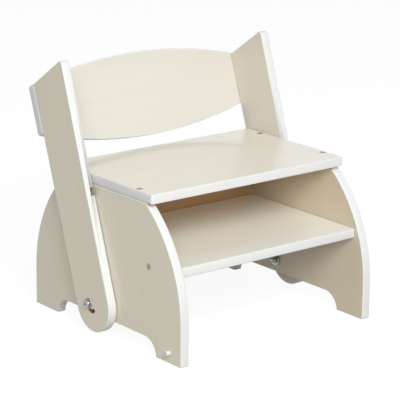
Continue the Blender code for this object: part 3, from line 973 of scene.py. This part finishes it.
class CHAIR_OT_pivots(bpy.types.Operator):
    """Make the pivot bolts, their washers and their lock nuts"""
    bl_idname = "chair.pivots"
    bl_label = "Pivot fittings"

    def execute(self, context):
        for label, side in SIDES.items():
            self.bolt(label, side)
            for kind in ("head_washer", "spacer_washer", "nut_washer"):
                self.washer(f"{label}_{kind}", side)
            self.nut(label, side)
        return {"FINISHED"}

    def bolt(self, label, side):
        """A pan-headed bolt with a cross recess."""
        sizes = bpy.context.scene.chair_fittings
        node = label + "_pivot_bolt"
        place, run, head = fitting_place(node, side)
        shank = sizes.bolt_diameter / 2
        rise = sizes.head_height
        dome = rise * 0.72
        flatness = 0.9
        ease = 0.0002
        tip = 0.0006
        start = run - rise * 4
        turns = 22
        profile = [(head * math.sin(a), -dome * (1 - math.cos(a)) ** flatness) for a in quarter_turn(9)]
        profile += [(head, ease - rise), (head - ease, -rise), (shank, -rise)]
        profile += thread(shank, shank * 0.96, start, (run - tip - start) / turns, turns)
        profile += [(shank - tip, -run), (0, -run)]
        mesh = recessed_mesh(node, profile, place, sizes.recess_span, depth=rise * 0.62)
        add_piece(label + "_bolt", mesh, STOOL, node)

    def washer(self, node, side):
        """A flat washer with eased rims."""
        place, run, outer = fitting_place(node, side)
        inner = bore_radius()
        ease = run * 0.16
        profile = [(inner, -ease), (inner + ease, 0), (outer - ease, 0), (outer, -ease), (outer, ease - run),
                   (outer - ease, -run), (inner + ease, -run), (inner, ease - run), (inner, -ease)]
        add_piece(node + "_disc", turned_mesh(node, profile, "bright zinc", place), STOOL, node)

    def nut(self, label, side):
        """A lock nut: a chamfered hexagon, a collar and its insert."""
        node = label + "_lock_nut"
        low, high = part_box(node)
        place, run = fitting_place(node, side)[:2]
        body = run * 0.74
        inner = bore_radius()
        zinc = [shared_material("bright zinc")]
        mesh = as_mesh(node, self.hexagon(min(high.y - low.y, high.z - low.z), body), zinc, place)
        bore = turned([(0, CUTTER_RISE), (inner, CUTTER_RISE), (inner, -run), (0, -run)])
        mesh = cut_mesh(mesh, [as_mesh("bore", bore, zinc, place)])
        add_piece(label + "_nut", sharpened(mesh), STOOL, node)
        for part, profile, material in (("collar", self.collar(inner, body, run), "bright zinc"),
                                        ("insert", self.insert(inner, body, run), "nylon insert")):
            name = f"{label}_nut_{part}"
            add_piece(name, turned_mesh(name, profile, material, place), STOOL, None)

    def hexagon(self, across, body):
        """The nut's six-sided part, with eased corners and chamfered ends."""
        corner = across / 2 / math.cos(math.pi / 6)
        work = bmesh.new()
        bmesh.ops.create_cone(work, cap_ends=True, segments=6, radius1=corner, radius2=corner, depth=body)
        bmesh.ops.translate(work, verts=work.verts, vec=(0, 0, -body / 2))
        soften(work, [edge for edge in work.edges if edge_run(edge) > body / 2], width=0.0002)
        soften(work, [edge for edge in work.edges if edge_run(edge) < body / 4], width=0.00045)
        return work

    def collar(self, inner, body, run):
        """The collar's profile, from just inside the hexagon to a rounded lip."""
        hollow = inner + 0.0007
        rim = bpy.context.scene.chair_fittings.collar_width / 2
        foot = 0.0003 - body
        lip = 0.0004
        return [(hollow, foot), (rim, foot), (rim, lip - run), (rim - lip, -run), (hollow, -run),
                (hollow, foot)]

    def insert(self, inner, body, run):
        """The insert's profile, a little lower than the collar."""
        outer = inner + 0.0006
        top = 0.0002 - run
        return [(inner, -body), (outer, -body), (outer, top), (inner, top), (inner, -body)]


class CHAIR_OT_screws(bpy.types.Operator):
    """Make the countersunk wood screws"""
    bl_idname = "chair.screws"
    bl_label = "Screws"

    def execute(self, context):
        for node, (top, axis) in screw_axes().items():
            body = BACK_FRAME if "backrest" in node else STOOL
            add_piece(node + "_metal", self.screw(node, axis_place(top, axis)), body, node)
        return {"FINISHED"}

    def screw(self, node, place):
        """A countersunk screw with a cross recess and a threaded shank."""
        sizes = bpy.context.scene.chair_fittings
        head, shank, sink, run = sizes.screw_head, sizes.screw_shank, sizes.screw_sink, sizes.screw_run
        ease = 0.0002
        rim = 0.0003
        turns = 26
        pitch = (run - sizes.screw_tip - sink) / turns
        profile = [(0, 0), (head - ease, 0), (head, -rim), (shank, -sink)]
        profile += thread(shank, shank * 0.86, sink + pitch, pitch, turns) + [(0, -run)]
        return recessed_mesh(node, profile, place, span=head * 1.15, depth=0.0014)


class CHAIR_OT_studio(bpy.types.Operator):
    """Set up the floor, the lamps, the world and the camera"""
    bl_idname = "chair.studio"
    bl_label = "Studio"

    def execute(self, context):
        self.floor(context)
        self.world(context)
        self.lamps(context)
        self.camera(context)
        context.scene.view_settings.view_transform = "Standard"
        return {"FINISHED"}

    def floor(self, context):
        """A pale floor that shows white and keeps the object's shadow."""
        studio = context.scene.chair_studio
        work = bmesh.new()
        bmesh.ops.create_grid(work, x_segments=4, y_segments=4, size=studio.floor_size / 2)
        shader = Shader("studio floor")
        ground = shader.node("ShaderNodeBsdfDiffuse", {}, {"Color": opaque(studio.ground)})
        faint = shader.node("ShaderNodeBsdfDiffuse", {}, {"Color": opaque(studio.faint)})
        glow = shader.node("ShaderNodeEmission", {}, {"Color": opaque(WHITE), "Strength": studio.glow})
        shown = shader.node("ShaderNodeAddShader", {}, {0: faint, 1: glow})
        both = shader.node("ShaderNodeMixShader", {}, {0: shader.seen(), 1: ground, 2: shown})
        shader.feed(shader.nodes["Material Output"], "Surface", both)
        mesh = as_mesh("floor", work, [shader.material], Matrix.Translation((0, 0, -FLOOR_DROP)))
        floor = bpy.data.objects.new("floor", mesh)
        context.scene.collection.objects.link(floor)

    def world(self, context):
        """Even light from all round, which the camera and reflections see as white."""
        world = bpy.data.worlds.new("studio")
        context.scene.world = world
        tree = Tree(world)
        level = tree.node("ShaderNodeMix", {"data_type": "FLOAT"},
                          {0: tree.seen(), 2: context.scene.chair_studio.world_level, 3: 1.0})
        tree.feed(tree.nodes["Background"], "Color", opaque(WHITE))
        tree.feed(tree.nodes["Background"], "Strength", level)

    def heading(self, across, height):
        """The direction turned to the right of the rear by an angle, and raised by another."""
        reach = math.cos(height)
        return Vector((math.sin(across) * reach, math.cos(across) * reach, math.sin(height)))

    def lamps(self, context):
        """Broad soft lamps in front of the stool."""
        studio = context.scene.chair_studio
        aim = Vector((0, 0, studio.lamp_aim))
        for name, (across, height, size) in LAMPS.items():
            away = self.heading(math.pi - math.radians(across), math.radians(height))
            lamp = bpy.data.lights.new(name, "AREA")
            lamp.energy = getattr(studio, name + "_power")
            lamp.size = size
            holder = bpy.data.objects.new(name, lamp)
            holder.location = aim + away * studio.lamp_distance
            holder.rotation_euler = (-away).to_track_quat("-Z", "Y").to_euler()
            context.scene.collection.objects.link(holder)

    def camera(self, context):
        """The camera at the photograph's place and angle."""
        studio = context.scene.chair_studio
        yaw, pitch, roll = studio.camera_yaw, studio.camera_pitch, studio.camera_roll
        forward = self.heading(yaw, pitch)
        level = Vector((math.cos(yaw), -math.sin(yaw), 0))
        upright = level.cross(forward)
        right = level * math.cos(roll) + upright * math.sin(roll)
        up = upright * math.cos(roll) - level * math.sin(roll)
        data = bpy.data.cameras.new("camera")
        data.lens = studio.focal
        data.sensor_width = SENSOR_WIDTH
        camera = bpy.data.objects.new("camera", data)
        axes = Matrix((right, up, -forward)).transposed().to_4x4()
        camera.matrix_world = Matrix.Translation(studio.camera_place) @ axes
        context.scene.collection.objects.link(camera)
        context.scene.camera = camera


STEPS = (CHAIR_OT_leg_panels, CHAIR_OT_boards, CHAIR_OT_planks, CHAIR_OT_backrest, CHAIR_OT_pegs,
         CHAIR_OT_pivots, CHAIR_OT_screws, CHAIR_OT_studio)
GROUPS = {"chair_boards": BoardSizes, "chair_legs": LegSizes, "chair_planks": PlankSizes,
          "chair_fittings": FittingSizes, "chair_finishes": Finishes, "chair_studio": StudioSizes}


class CHAIR_PT_panel(bpy.types.Panel):
    """The step chair's pieces and sizes"""
    bl_idname = "CHAIR_PT_panel"
    bl_label = "Step chair"
    bl_space_type = "VIEW_3D"
    bl_region_type = "UI"
    bl_category = "Step chair"

    def draw(self, context):
        for step in STEPS:
            self.layout.operator(step.bl_idname)
        for name, group in GROUPS.items():
            box = self.layout.box()
            box.label(text=group.__doc__)
            for key in group.__annotations__:
                box.prop(getattr(context.scene, name), key)


def register():
    """Registers the classes and hangs the settings on the scene."""
    for group in GROUPS.values():
        bpy.utils.register_class(group)
    for step in STEPS + (CHAIR_PT_panel,):
        bpy.utils.register_class(step)
    for name, group in GROUPS.items():
        setattr(bpy.types.Scene, name, PointerProperty(type=group))


def unregister():
    """Takes the settings and the classes away again."""
    for name in GROUPS:
        delattr(bpy.types.Scene, name)
    for step in reversed(STEPS + (CHAIR_PT_panel,)):
        bpy.utils.unregister_class(step)
    for group in GROUPS.values():
        bpy.utils.unregister_class(group)


def main():
    """Makes every piece and the studio."""
    register()
    for step in STEPS:
        name = step.bl_idname.split(".")[1]
        getattr(bpy.ops.chair, name)()


if __name__ == "__main__":
    main()
